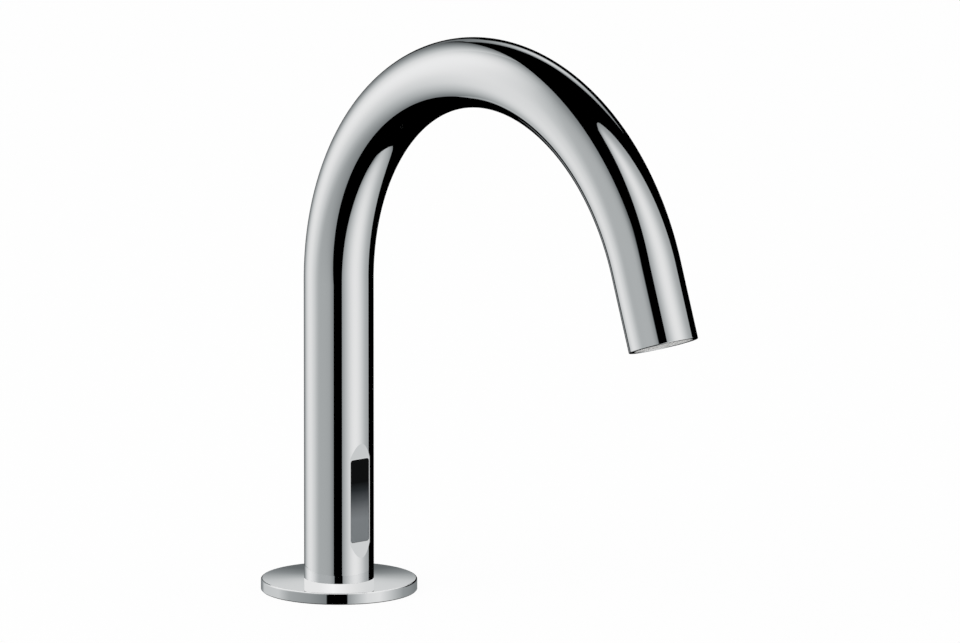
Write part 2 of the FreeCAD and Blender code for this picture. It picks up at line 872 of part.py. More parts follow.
def outlet_insert():
    """Brass insert in the tip: a threaded mouth for the aerator, a chamber and the hose barb."""
    outer = tube_inner_r - slip / 2
    groove_r = outer - insert_ring_section + slip
    groove_low = insert_shoulder + seat_gap
    groove_high = groove_low + insert_ring_section + 2 * slip
    barb_end = insert_end + barb_length
    return turned(
        [
            (thread_r + thread_gap, insert_recess),
            (outer, insert_recess),
            (outer, groove_low),
            (groove_r, groove_low),
            (groove_r, groove_high),
            (outer, groove_high),
            (outer, insert_end),
        ]
        + barbed(insert_end, hose_inner_r - barb_relief)
        + [
            (barb_bore_radius, barb_end),
            (barb_bore_radius, insert_chamber_end),
            (insert_shoulder_radius, insert_chamber_end),
            (insert_shoulder_radius, insert_shoulder),
            (thread_r + thread_gap, insert_shoulder),
        ]
    )


def insert_o_ring():
    """O-ring between the insert and the tube."""
    depth = insert_shoulder + seat_gap + slip + insert_ring_section / 2
    return torus(tube_inner_r - insert_ring_section / 2, insert_ring_section - slip, depth)


def aerator_seal():
    """Flat ring between the aerator's barrel and the insert's shoulder."""
    return ring(thread_r - slip, insert_shoulder_radius, seal_front, seal_end)


def aerator_housing():
    """Threaded barrel with a flush flange that is notched for a key."""
    lip_r = aerator_bore_r - aerator_wall / 2
    barrel = turned(
        [
            (aerator_bore_r, aerator_recess),
            (aerator_flange_r - tip_edge_round, aerator_recess),
            (aerator_flange_r, aerator_recess + tip_edge_round),
            (aerator_flange_r, barrel_front),
            (thread_r, barrel_front),
            (thread_r, barrel_end),
            (aerator_bore_r, barrel_end),
            (aerator_bore_r, grid_seat + aerator_wall / 2),
            (lip_r, grid_seat + aerator_wall / 2),
            (lip_r, grid_seat),
            (aerator_bore_r, grid_seat),
        ]
    )
    notch = Part.makeBox(
        key_notch_depth + seat_gap,
        key_notch_width,
        aerator_flange_thickness,
        Vector(aerator_flange_r - key_notch_depth, -key_notch_width / 2, aerator_recess),
    )
    return barrel.cut(around(notch, key_notches))


grid_front = aerator_recess
grid_seat = grid_front + grid_thickness
mesh_front = grid_seat + aerator_wall / 2 + slip
mesh_end = mesh_front + mesh_layers * (mesh_thickness + mesh_spacing)
jet_front = mesh_end + slip
jet_end = jet_front + jet_plate_thickness
regulator_front = jet_end + slip
regulator_end = regulator_front + regulator_thickness
strainer_front = regulator_end + slip

# The regulator, from its rim inwards
regulator_r = aerator_bore_r - slip
regulator_seat = regulator_front + regulator_floor
rim_r = regulator_r - regulator_rim_wall
lobe_r = rim_r - regulator_ring_section - 2 * regulator_ring_play


def outlet_grid():
    """Honeycomb face that straightens the water."""
    pitch = grid_cell + grid_web
    radius = aerator_bore_r - slip
    reach = radius - grid_web
    rows = int(radius / (pitch * math.sqrt(3) / 2)) + 1
    openings = []
    for j in range(-rows, rows + 1):
        for i in range(-rows, rows + 1):
            x = pitch * (i + (j % 2) / 2)
            y = pitch * math.sqrt(3) / 2 * j
            if math.hypot(x, y) + grid_cell / math.sqrt(3) < reach:
                openings.append(hexagon(grid_cell, x, y, 30))
    return perforated(radius, grid_front, grid_seat - slip, openings)


def mesh_screens():
    """Stacked screens that break the water up and draw in air."""
    radius = aerator_bore_r - slip
    openings = square_openings(radius - mesh_bar / 2, mesh_opening, mesh_opening + mesh_bar)
    screens = []
    for k in range(mesh_layers):
        low = mesh_front + k * (mesh_thickness + mesh_spacing)
        screen = perforated(radius, low, low + mesh_thickness, openings)
        screen.rotate(Vector(0, 0, 0), UP, 45.0 * k)
        screens.append(screen)
    return screens


def jet_plate():
    """Plate with a ring of narrow slots that throw jets at the screens."""
    radius = aerator_bore_r - slip
    half_w, half_l = jet_slot_width / 2, jet_slot_length / 2
    middle = radius - jet_slot_margin - half_l
    openings = []
    for k in range(jet_slots):
        a = 2 * math.pi * k / jet_slots
        c, s = math.cos(a), math.sin(a)
        corners = [(-half_l, -half_w), (half_l, -half_w), (half_l, half_w), (-half_l, half_w)]
        openings.append([((middle + u) * c - v * s, (middle + u) * s + v * c) for u, v in corners])
    return perforated(radius, jet_front, jet_end, openings)


def flow_regulator():
    """Seat with lobes round its hub, which the ring closes against as the pressure rises."""
    hub_r = lobe_r - regulator_lobe_height
    outline = []
    for k in range(2 * regulator_lobes):
        a = math.pi * k / regulator_lobes
        r = lobe_r if k % 2 else hub_r
        outline.append((r * math.cos(a), r * math.sin(a)))
    half = regulator_slot_width / 2
    base_openings = []
    for k in range(regulator_lobes):
        a = 2 * math.pi * k / regulator_lobes
        c, s = math.cos(a), math.sin(a)
        corners = [(lobe_r, -half), (rim_r, -half), (rim_r, half), (lobe_r, half)]
        base_openings.append([(u * c - v * s, u * s + v * c) for u, v in corners])
    base = perforated(regulator_r, regulator_front, regulator_seat, base_openings)
    hub = polygon_prism(outline, regulator_seat, regulator_end)
    rim = ring(regulator_r, rim_r, regulator_seat, regulator_end)
    return base.fuse([hub, rim]).removeSplitter()


def regulator_ring():
    """The ring that throttles the water between the hub's lobes and the rim."""
    centre_z = regulator_seat + slip + regulator_ring_section / 2
    return torus((lobe_r + rim_r) / 2, regulator_ring_section, centre_z)


def inlet_strainer():
    """Slotted dome that keeps grit out of the regulator."""
    radius = aerator_bore_r - slip
    crown_r = strainer_crown_radius
    foot, top = strainer_front, strainer_front + strainer_height
    brim_top = foot + strainer_wall
    dome = turned(
        [
            (0, foot),
            (radius, foot),
            (radius, brim_top),
            (radius - strainer_wall, brim_top),
            (crown_r, top),
            (0, top),
        ]
    )
    inner = turned(
        [
            (0, foot),
            (radius - 2 * strainer_wall, foot),
            (crown_r - strainer_wall, top - strainer_wall),
            (0, top - strainer_wall),
        ]
    )
    slot_foot = brim_top + strainer_wall
    slot_corner = Vector(crown_r / 2, -strainer_slot_width / 2, slot_foot)
    slot = Part.makeBox(radius, strainer_slot_width, top - strainer_wall - slot_foot, slot_corner)
    return dome.cut([inner] + around(slot, strainer_slots))


# ---------------------------------------------------------------------------------------------------------
# Build
# ---------------------------------------------------------------------------------------------------------


def main():
    os.makedirs("parts", exist_ok=True)

    save("spout_tube", spout_tube())
    save("deck_disc", deck_disc())
    save("base_gasket", base_gasket())
    save("foot_o_ring", foot_o_ring())

    save("mounting_shank", mounting_shank())
    save("soft_washer", soft_washer())
    save("steel_washer", steel_washer())
    save("back_nut", back_nut())

    save("tail_plug", tail_plug())
    save("tail_circlip", tail_circlip())
    save("lead_grommet", lead_grommet())

    save("water_hose", water_hose())
    save("lower_ferrule", lower_ferrule())
    save("upper_ferrule", upper_ferrule())

    save("sensor_window", sensor_window())
    save("window_gasket", window_gasket())
    save("sensor_housing", sensor_housing())
    save("sensor_board", sensor_board())
    save("ir_emitter", optic(window_z + optic_spacing / 2))
    save("ir_receiver", optic(window_z - optic_spacing / 2))
    save("status_lamp", status_lamp())
    save("board_chips", *board_chips())
    save("sensor_carrier", sensor_carrier())
    save("carrier_screws", *carrier_screws())
    save("leaf_spring", leaf_spring())
    save("sensor_lead", sensor_lead())
    save("lead_boot", lead_boot())

    save("outlet_insert", at_tip(outlet_insert()))
    save("insert_o_ring", at_tip(insert_o_ring()))
    save("aerator_seal", at_tip(aerator_seal()))
    save("aerator_housing", at_tip(aerator_housing()))
    save("outlet_grid", at_tip(outlet_grid()))
    save("mesh_screens", *[at_tip(s) for s in mesh_screens()])
    save("jet_plate", at_tip(jet_plate()))
    save("flow_regulator", at_tip(flow_regulator()))
    save("regulator_ring", at_tip(regulator_ring()))
    save("inlet_strainer", at_tip(inlet_strainer()))


main()
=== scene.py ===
"""Looks of the deck-mounted sensor tap, in metres, in the frame of its solids.

The mirror-polished tube and disc are built here as fine meshes with exact normals, and the shank
gets its thread. Every other piece keeps its solid and gets its finish. Cards that only reflections
see stand in for the studio.
"""

import json
import math

import bpy
import numpy as np
from mathutils import Matrix, Vector


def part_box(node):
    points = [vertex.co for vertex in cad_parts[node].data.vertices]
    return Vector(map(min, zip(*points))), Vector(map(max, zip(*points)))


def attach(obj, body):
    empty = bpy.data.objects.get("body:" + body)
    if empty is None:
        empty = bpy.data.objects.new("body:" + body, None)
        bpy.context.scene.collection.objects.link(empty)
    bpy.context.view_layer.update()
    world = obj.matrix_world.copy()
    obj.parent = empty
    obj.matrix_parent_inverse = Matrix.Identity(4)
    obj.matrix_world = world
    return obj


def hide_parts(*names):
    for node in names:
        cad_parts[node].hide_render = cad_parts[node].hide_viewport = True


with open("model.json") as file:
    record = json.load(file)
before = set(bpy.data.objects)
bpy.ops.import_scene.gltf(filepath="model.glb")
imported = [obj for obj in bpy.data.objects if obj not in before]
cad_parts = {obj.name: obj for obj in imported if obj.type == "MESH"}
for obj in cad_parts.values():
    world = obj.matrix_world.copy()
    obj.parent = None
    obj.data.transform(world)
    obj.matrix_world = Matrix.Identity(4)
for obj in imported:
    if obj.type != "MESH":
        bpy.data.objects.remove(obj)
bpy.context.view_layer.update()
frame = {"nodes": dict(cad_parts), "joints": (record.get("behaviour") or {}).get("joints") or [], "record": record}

MM = 0.001
UP = Vector((0, 0, 1))

# --------------------------------------------------------------------------------------------------
# Sizes: from the frame where it holds them
# --------------------------------------------------------------------------------------------------

outlet_turn = next(j for j in frame["joints"] if j["name"] == "aerator_turn")
outlet_axis = Vector(outlet_turn["axis"])
tip_end = Vector(outlet_turn["pos_m"])
bend = math.atan2(outlet_axis.x, outlet_axis.z)

tube_low, tube_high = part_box("spout_tube")
tube_r = 12.0 * MM
tube_wall = 1.5 * MM
tube_inner_r = tube_r - tube_wall
tube_foot_z = tube_low.z
tube_top_z = round(tube_high.z, 4)  # to 0.1 mm
tip_edge_round = 0.3 * MM
tip_bore_bevel = 0.15 * MM
thread_relief = 0.6 * MM

# The bend's radius and the tip's length put the tube's top and its end where the frame has them.
bend_radius, tip_length = np.round(
    np.linalg.solve(
        [[1 - math.cos(bend), math.sin(bend)], [math.sin(bend) - 1, math.cos(bend)]],
        [tip_end.x, tip_end.z - (tube_top_z - tube_r)],
    ),
    5,  # decimals: to 0.01 mm
)
column_top_z = tube_top_z - tube_r - bend_radius

# Milled flat and window
pane_low, pane_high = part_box("sensor_window")
window_z = (pane_low.z + pane_high.z) / 2
window_half_width = 4.1 * MM
window_half_height = 14.5 * MM
window_corner = 1.0 * MM
flat_half_width = 4.4 * MM
flat_margin = 0.4 * MM
flat_runout = 5.1 * MM
flat_x = math.sqrt(tube_r**2 - flat_half_width**2)

# Disc on the deck
disc_r = round(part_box("deck_disc")[1].x, 5)  # to 0.01 mm
disc_rise = 0.25 * MM  # from the rim to the column
disc_rim_height = tube_foot_z - disc_rise
disc_edge_round = 0.5 * MM
disc_fine_round = 0.05 * MM
disc_foot_bevel = 0.3 * MM
disc_bore_r = 10.5 * MM
ring_seat_r = 11.55 * MM
ring_seat_z = tube_foot_z - 1.0 * MM
flange_seat_r = 14.85 * MM
flange_seat_z = 2.0 * MM
gasket_seat_inner_r = 16.45 * MM
gasket_seat_outer_r = disc_r - 2.95 * MM
gasket_seat_z = 1.2 * MM

# Shank: its spigot, its flange, its thread and the seat of the tail plug
shank_low, shank_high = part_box("mounting_shank")
shank_r = 12.0 * MM
shank_bore_r = 8.8 * MM
shank_end_bevel = 1.0 * MM
shank_flange_r = 14.8 * MM
shank_flange_low = 0.35 * MM
shank_flange_high = 1.95 * MM
spigot_r = tube_inner_r - 0.05 * MM
plug_seat_r = 9.3 * MM
plug_seat_top = shank_low.z + 16.0 * MM
circlip_groove_r = plug_seat_r + 0.6 * MM
circlip_groove_high = plug_seat_top - 12.5 * MM
circlip_groove_low = circlip_groove_high - 1.05 * MM
thread_pitch = 1.5 * MM
thread_depth = 0.8 * MM
thread_run_out = 1.5 * MM
thread_crest = 0.2  # share of the pitch
thread_root = 0.25  # share of the pitch

# --------------------------------------------------------------------------------------------------
# Camera
# --------------------------------------------------------------------------------------------------

view_azimuth = math.radians(49.67)
view_elevation = math.radians(11.22)
view_distance = 7.96
view_reach = 100.0
view_right_shift = 48.49 * MM  # the view's middle, from the disc's centre
view_up_shift = 92.03 * MM
sensor_width = 36.0  # in millimetres, as the lens
lens = 867.4

viewer_right = Vector((math.cos(view_azimuth), math.sin(view_azimuth), 0))
towards_viewer = Vector((math.sin(view_azimuth), -math.cos(view_azimuth), 0))


def make_camera():
    camera = bpy.data.objects.new("camera", bpy.data.cameras.new("camera"))
    bpy.context.scene.collection.objects.link(camera)
    back = towards_viewer * math.cos(view_elevation) + UP * math.sin(view_elevation)
    above = back.cross(viewer_right)
    middle = viewer_right * view_right_shift + above * view_up_shift
    camera.location = middle + back * view_distance
    camera.rotation_euler = back.to_track_quat("Z", "Y").to_euler()
    camera.data.sensor_width = sensor_width
    camera.data.lens = lens
    camera.data.clip_end = view_reach
    bpy.context.scene.camera = camera


# --------------------------------------------------------------------------------------------------
# Materials: colours are linear, noises are in cells per metre
# --------------------------------------------------------------------------------------------------

drift_low, drift_high = 0.3, 0.7  # noise levels between which a colour drifts

chrome_colour = (0.93, 0.935, 0.94, 1)
chrome_polish = 90.0
chrome_haze = 0.012, 0.03  # least and most roughness

turned_rings = 900.0
turned_stretch = (0.15, 0.15, 4.0)
turned_patches = 160.0
turned_groove = 0.02 * MM
turned_dulling = 0.8, 1.3  # shares of the roughness in the dark and the light patches
turned_finishes = {  # colour, colour of the dark patches, roughness
    "turned_brass": ((0.80, 0.63, 0.33), (0.70, 0.52, 0.25), 0.24),
    "stainless": ((0.64, 0.63, 0.62), (0.52, 0.52, 0.52), 0.28),
}

moulded_drift = 120.0
moulded_grain = 1500.0
moulded_grain_depth = 0.02 * MM
moulded_dulling = 0.85, 1.15  # least and most share of the roughness
moulded_finishes = {  # colour, colour it drifts to, roughness
    "black_rubber": ((0.035, 0.035, 0.037), (0.022, 0.022, 0.024), 0.62),
    "black_moulding": ((0.024, 0.024, 0.026), (0.016, 0.016, 0.018), 0.42),
    "grey_moulding": ((0.26, 0.27, 0.28), (0.21, 0.22, 0.23), 0.45),
    "white_moulding": ((0.86, 0.86, 0.85), (0.80, 0.80, 0.79), 0.38),
    "green_moulding": ((0.36, 0.62, 0.36), (0.30, 0.54, 0.31), 0.4),
    "ivory_moulding": ((0.85, 0.82, 0.72), (0.79, 0.75, 0.65), 0.4),
    "hose_plastic": ((0.85, 0.87, 0.88), (0.79, 0.82, 0.84), 0.3),
    "lead_jacket": ((0.05, 0.05, 0.052), (0.038, 0.038, 0.04), 0.5),
}

lens_grain = 800.0
lens_grain_depth = 0.002 * MM
lens_finishes = {  # as the moulded ones
    "clear_lens": ((0.76, 0.80, 0.88), (0.70, 0.74, 0.84), 0.08),
    "dark_lens": ((0.055, 0.03, 0.05), (0.035, 0.018, 0.034), 0.08),
}

# Painted light: the pane's colour is a lit grey at its foot and fades to near-black at its top, standing in for
# the lit recess behind the smoked pane.
pane_black_z = 39.2 * MM  # the pane is near-black above this height
pane_painted_grey_z = 26.5 * MM  # and a painted, lit grey below this one
pane_painted_light_fade = [
    (0.0, (0.221, 0.238, 0.250)),
    (0.23, (0.171, 0.183, 0.194)),
    (0.5, (0.081, 0.089, 0.096)),
    (0.78, (0.021, 0.025, 0.028)),
    (1.0, (0.0015, 0.002, 0.0022)),
]
pane_smear = 400.0
pane_haze = 0.03, 0.06
pane_specular = 0.05

board_pads = 420.0
board_pad_offset = 0.35
board_gap = 0.02
board_dark = (0.012, 0.14, 0.06, 1)
board_light = (0.018, 0.19, 0.08, 1)
board_track = (0.05, 0.32, 0.16, 1)
board_grain = 600.0
board_haze = 0.3, 0.42


class Shader:
    """The nodes of a material or a world, with short calls for the ones that repeat."""

    def __init__(self, name, world=False):
        self.data = (bpy.data.worlds if world else bpy.data.materials).new(name)
        self.data.use_nodes = True
        self.tree = self.data.node_tree
        self.tree.nodes.clear()
        self.output = self.node("OutputWorld" if world else "OutputMaterial")

    def node(self, kind, **settings):
        node = self.tree.nodes.new("ShaderNode" + kind)
        for key, value in settings.items():
            setattr(node, key, value)
        return node

    def link(self, source, target):
        self.tree.links.new(source, target)

    def put(self, value, socket):
        """Sets a socket to a number, or links it to another socket."""
        if isinstance(value, bpy.types.NodeSocket):
            self.link(value, socket)
        else:
            socket.default_value = value

    def show(self, surface):
        self.link(surface, self.output.inputs[0])

    def math(self, operation, *values):
        node = self.node("Math", operation=operation)
        for value, socket in zip(values, node.inputs):
            self.put(value, socket)
        return node.outputs[0]

    def place(self):
        """The x, y and z of the shaded point in the object's own frame."""
        split = self.node("SeparateXYZ")
        self.link(self.node("TexCoord").outputs["Object"], split.inputs[0])
        return split.outputs

    def ramp(self, value, stops, line="LINEAR"):
        """Lines, straight or curved, between (position, grey or colour) stops."""
        node = self.node("ValToRGB")
        node.color_ramp.interpolation = line
        elements = node.color_ramp.elements
        for position, colour in stops[2:]:
            elements.new(position)
        for element, (position, colour) in zip(elements, stops):
            element.position = position
            grey = isinstance(colour, (int, float))
            element.color = (colour,) * 3 + (1,) if grey else tuple(colour) + (1,)
        self.put(value, node.inputs[0])
        return node.outputs[0]

    def profile(self, value, stops, line="CARDINAL"):
        """A ramp over any span: stops are (value, height), heights from 0 to 1."""
        low, high = stops[0][0], stops[-1][0]
        share = self.math("DIVIDE", self.math("SUBTRACT", value, low), high - low)
        return self.ramp(share, [((at - low) / (high - low), height) for at, height in stops], line)

    def bell(self, value, centre, width):
        """exp(-((value - centre) / width) squared)"""
        off = self.math("DIVIDE", self.math("SUBTRACT", value, centre), width)
        return self.math("EXPONENT", self.math("MULTIPLY", self.math("MULTIPLY", off, off), -1.0))

    def noise(self, cells, detail=3.0, stretch=None):
        """Noise in the object's frame."""
        node = self.node("TexNoise")
        node.inputs["Scale"].default_value = cells
        node.inputs["Detail"].default_value = detail
        coordinates = self.node("TexCoord").outputs["Object"]
        if stretch:
            mapping = self.node("Mapping")
            mapping.inputs["Scale"].default_value = stretch
            self.link(coordinates, mapping.inputs[0])
            coordinates = mapping.outputs[0]
        self.link(coordinates, node.inputs["Vector"])
        return node.outputs["Fac"]

    def drift(self, noise, dark, light):
        """Drifts between two colours or greys with a noise."""
        return self.ramp(noise, [(drift_low, dark), (drift_high, light)])

    def between(self, value, low, high):
        """Maps 0..1 to low..high."""
        return self.math("MULTIPLY_ADD", value, high - low, low)

    def bump(self, height, distance):
        node = self.node("Bump")
        node.inputs["Strength"].default_value = 1.0
        node.inputs["Distance"].default_value = distance
        self.link(height, node.inputs["Height"])
        return node.outputs[0]

    def principled(self, **inputs):
        node = self.node("BsdfPrincipled")
        for key, value in inputs.items():
            self.put(value, node.inputs[key.replace("_", " ")])
        self.show(node.outputs[0])

    def front_only(self, surface):
        """The surface as seen from its front, and nothing from its back."""
        mix = self.node("MixShader")
        self.link(self.node("NewGeometry").outputs["Backfacing"], mix.inputs[0])
        self.link(surface, mix.inputs[1])
        self.link(self.node("BsdfTransparent").outputs[0], mix.inputs[2])
        return mix.outputs[0]

    def looked_at(self):
        """1 where the camera, a mirror or glass looks, 0 where a surface gathers its light."""
        rays = self.node("LightPath").outputs
        seen = self.math("MAXIMUM", rays["Is Camera Ray"], rays["Is Glossy Ray"])
        return self.math("MAXIMUM", seen, rays["Is Transmission Ray"])


def chrome():
    """Mirror-polished chrome: hardly any haze, which a faint polishing pattern varies."""
    s = Shader("polished_chrome")
    s.principled(
        Base_Color=chrome_colour,
        Metallic=1.0,
        Roughness=s.between(s.noise(chrome_polish, detail=4.0), *chrome_haze),
    )
    return s.data


def turned_metal(name, colour, dark, roughness):
    """Turned metal: fine rings about the upright axis, and patches a little duller than others."""
    s = Shader(name)
    patches = s.noise(turned_patches)
    rings = s.noise(turned_rings, detail=2.0, stretch=turned_stretch)
    s.principled(
        Base_Color=s.drift(patches, dark, colour),
        Metallic=1.0,
        Roughness=s.between(patches, *(roughness * share for share in turned_dulling)),
        Normal=s.bump(rings, turned_groove),
    )
    return s.data


def moulded(name, colour, shade, roughness, grain=moulded_grain, depth=moulded_grain_depth):
    """Moulded plastic or rubber: a fine grain, and a colour that drifts a little."""
    s = Shader(name)
    gloss = s.noise(grain / 2, detail=2.0)
    s.principled(
        Base_Color=s.drift(s.noise(moulded_drift), shade, colour),
        Roughness=s.between(gloss, *(roughness * share for share in moulded_dulling)),
        Normal=s.bump(s.noise(grain), depth),
    )
    return s.data


def dark_pane():
    """Smoked pane with painted light: its colour fades from near-black at its top to a lit mid grey at its foot,
    standing in for the lit recess behind it.
    """
    s = Shader("dark_pane")
    z = s.place()[2]
    share = s.math("DIVIDE", s.math("SUBTRACT", z, pane_painted_grey_z), pane_black_z - pane_painted_grey_z)
    s.principled(
        Base_Color=s.ramp(share, pane_painted_light_fade),
        Roughness=s.between(s.noise(pane_smear), *pane_haze),
        Specular_IOR_Level=pane_specular,
    )
    return s.data


def board_green():
    """Solder mask over copper tracks."""
    s = Shader("circuit_green")
    turn = s.node("Mapping")
    turn.inputs["Rotation"].default_value = (0, math.pi / 2, 0)
    s.link(s.node("TexCoord").outputs["Object"], turn.inputs[0])
    pads = s.node("TexBrick", offset=board_pad_offset)
    s.link(turn.outputs[0], pads.inputs["Vector"])
    for socket, value in (
        ("Scale", board_pads),
        ("Mortar Size", board_gap),
        ("Color1", board_dark),
        ("Color2", board_light),
        ("Mortar", board_track),
    ):
        pads.inputs[socket].default_value = value
    roughness = s.between(s.noise(board_grain), *board_haze)
    s.principled(Base_Color=pads.outputs["Color"], Roughness=roughness)
    return s.data


def finishes():
    """Each slot's material."""
    made = {
        "polished_chrome": chrome(),
        "dark_pane": dark_pane(),
        "circuit_green": board_green(),
    }
    for name, values in turned_finishes.items():
        made[name] = turned_metal(name, *values)
    for name, values in moulded_finishes.items():
        made[name] = moulded(name, *values)
    for name, values in lens_finishes.items():
        made[name] = moulded(name, *values, lens_grain, lens_grain_depth)
    return made


# --------------------------------------------------------------------------------------------------
# Mesh helpers
# --------------------------------------------------------------------------------------------------

edge_steps = 6  # facets round a rounded edge
same_normal = 0.99999  # least cosine between normals that count as one


def add_object(name, mesh, material=None):
    piece = bpy.data.objects.new(name, mesh)
    bpy.context.scene.collection.objects.link(piece)
    if material:
        mesh.materials.append(material)
    return piece


def new_mesh(name, points, faces):
    mesh = bpy.data.meshes.new(name)
    mesh.from_pydata([tuple(p) for p in points], [], faces)
    return mesh


def ring_faces(rings, count, closed=True):
    """Quads between successive rings of points, and from the last ring to the first if closed."""
    faces = []
    for k in range(rings if closed else rings - 1):
        here, there = k * count, (k + 1) % rings * count
        for j in range(count):
            step = (j + 1) % count
            faces.append((here + j, here + step, there + step, there + j))
    return faces


def round_points(centre, one, other, radius, count, offset=0.0):
    """Points round a circle, from its side one towards its side other."""
    turns = [2 * math.pi * (j + offset) / count for j in range(count)]
    return [centre + (one * math.cos(a) + other * math.sin(a)) * radius for a in turns]


def outline(corners):
    """Points and edge normals of a closed outline of (radius, height, rounding) corners.

    The outline runs anticlockwise, with radius to the right and height up. Each edge comes as its
    start and its unit normals at both ends, which are equal on a straight edge and fan out round a
    corner's arc.
    """
    points = [np.array(c[:2], float) for c in corners]
    edges = []
    for k, here in enumerate(points):
        before, after, rounding = points[k - 1], points[(k + 1) % len(points)], corners[k][2]
        into = (here - before) / np.linalg.norm(here - before)
        out = (after - here) / np.linalg.norm(after - here)
        first, last = np.array([into[1], -into[0]]), np.array([out[1], -out[0]])
        if rounding:
            turn = math.atan2(into[0] * out[1] - into[1] * out[0], into @ out)
            trim = rounding * math.tan(abs(turn) / 2)
            centre = here - into * trim - first * rounding * math.copysign(1, turn)
            angles = [turn * i / edge_steps for i in range(edge_steps + 1)]
            normals = [first * math.cos(a) + into * math.sin(a) for a in angles]
            spots = [centre + n * rounding * math.copysign(1, turn) for n in normals]
            edges += [(s, n0, n1) for s, n0, n1 in zip(spots, normals, normals[1:])]
            edges.append((spots[-1], last, last))
        else:
            edges.append((here, last, last))
    return edges


def set_normals(mesh, normals):
    """Gives every face corner of a closed mesh its normal, and marks edges where two differ."""
    normals = np.array(normals)
    edge_of = np.array([loop.edge_index for loop in mesh.loops])
    following = np.arange(len(edge_of)) + 1
    for face in mesh.polygons:
        following[face.loop_start + face.loop_total - 1] = face.loop_start
    one, other = np.argsort(edge_of, kind="stable").reshape(-1, 2).T
    same = (normals[one] * normals[following[other]]).sum(1)
    same = np.minimum(same, (normals[following[one]] * normals[other]).sum(1))
    mesh.polygons.foreach_set("use_smooth", [True] * len(mesh.polygons))
    mesh.edges.foreach_set("use_edge_sharp", same < same_normal)
    mesh.normals_split_custom_set([tuple(n) for n in normals])


def turned_piece(name, corners, count, material):
    """A piece turned about the column's axis, with exact normals."""
    edges = outline(corners)
    angles = 2 * math.pi * np.arange(count) / count
    around = np.stack([np.cos(angles), np.sin(angles)], 1)
    points = [(p[0] * c, p[0] * s, p[1]) for p, _, _ in edges for c, s in around]
    mesh = new_mesh(name, points, ring_faces(len(edges), count))
    normals = []
    for _, n0, n1 in edges:
        for j in range(count):
            for n, i in ((n0, j), (n0, j + 1), (n1, j + 1), (n1, j)):
                c, s = around[i % count]
                normals.append((n[0] * c, n[0] * s, n[1]))
    set_normals(mesh, normals)
    return add_object(name, mesh, material)


def prism(name, points, direction):
    """A closed prism: a flat outline pushed along a direction."""
    count = len(points)
    faces = [tuple(range(count))[::-1], tuple(range(count, 2 * count))]
    faces += [(k, (k + 1) % count, count + (k + 1) % count, count + k) for k in range(count)]
    return add_object(name, new_mesh(name, points + [p + direction for p in points], faces))


def cut(piece, cutters):
    """Cuts the cutters out of the piece and removes them."""
    for cutter in cutters:
        modifier = piece.modifiers.new("cut", "BOOLEAN")
        modifier.operation = "DIFFERENCE"
        modifier.solver = "EXACT"
        modifier.object = cutter
    bpy.context.view_layer.update()
    shown = piece.evaluated_get(bpy.context.evaluated_depsgraph_get())
    mesh = bpy.data.meshes.new_from_object(shown)
    piece.modifiers.clear()
    piece.data = mesh
    for cutter in cutters:
        bpy.data.objects.remove(cutter)


# --------------------------------------------------------------------------------------------------
# Spout tube
# --------------------------------------------------------------------------------------------------

column_length = column_top_z - tube_foot_z
arc_length = bend_radius * bend
path_length = column_length + arc_length + tip_length

tube_count = 160  # points round it
column_rings = 24
arc_steps = 108
tip_steps = 4
corner_steps = 8  # facets round a corner of the window

tip_crease = math.radians(40)  # the tip's edge is smooth where its faces turn by less
tip_edge_reach = 1.01 * tip_edge_round  # faces nearer to the tip's end belong to its edge
wall_match = 0.99  # how nearly a face on the tube's wall faces straight away from the centreline
wall_slack = 0.05 * MM  # and how far from the wall's radius its middle may be


def path_at(distance):
    """Centre, direction and outward side of the spout's centreline, at a distance from its foot."""
    if distance <= column_length:
        return Vector((0, 0, tube_foot_z + distance)), UP.copy(), Vector((-1, 0, 0))
    turn = min((distance - column_length) / bend_radius, bend)
    direction = Vector((math.sin(turn), 0, math.cos(turn)))
    side = Vector((-math.cos(turn), 0, math.sin(turn)))
    centre = Vector((bend_radius, 0, column_top_z)) + side * bend_radius
    past = max(distance - column_length - arc_length, 0.0)
    return centre + direction * past, direction, side


def from_centreline(points):
    """Distances of points from the spout's centreline, and unit vectors away from it."""
    x, z = points[:, 0], points[:, 2]
    turn = np.clip(np.arctan2(z - column_top_z, bend_radius - x), 0, bend)
    turn = np.where((z < column_top_z) & (x < bend_radius), 0, turn)
    turn = np.where((z < column_top_z) & (x >= bend_radius) & (turn <= 0), bend, turn)
    direction = np.stack([np.sin(turn), 0 * turn, np.cos(turn)], 1)
    anchor_x = bend_radius - bend_radius * np.cos(turn)
    anchor_z = column_top_z + bend_radius * np.sin(turn)
    off = points - np.stack([anchor_x, 0 * turn, anchor_z], 1)
    off -= direction * (off * direction).sum(1)[:, None]
    away = np.linalg.norm(off, axis=1)
    return away, off / away[:, None]


def spout_stations():
    """(distance along the path, radius) of each ring: up the outside, round the tip, down the bore.

    Every other ring of the outside is enough for the bore.
    """
    column = list(np.linspace(0, column_length, column_rings))[:-1]
    arc = [column_length + arc_length * k / arc_steps for k in range(arc_steps + 1)]
    tip = [column_length + arc_length + tip_length * k / tip_steps for k in range(1, tip_steps)]
    outside = [(s, tube_r) for s in column + arc + tip]
    rounded = []
    for k in range(edge_steps + 1):
        a = math.pi / 2 * k / edge_steps
        short, inset = tip_edge_round * (1 - math.sin(a)), tip_edge_round * (1 - math.cos(a))
        rounded.append((path_length - short, tube_r - inset))
    mouth = [
        (path_length, tube_inner_r + tip_bore_bevel),
        (path_length - tip_bore_bevel, tube_inner_r),
    ]
    inside = sorted(tip[1:] + arc[::-2][1:] + column[::-2], reverse=True)
    bore = [(s, tube_inner_r) for s in inside if s > thread_relief]
    foot = [(thread_relief, tube_inner_r), (0.0, tube_inner_r + thread_relief)]
    return outside + rounded + mouth + bore + foot


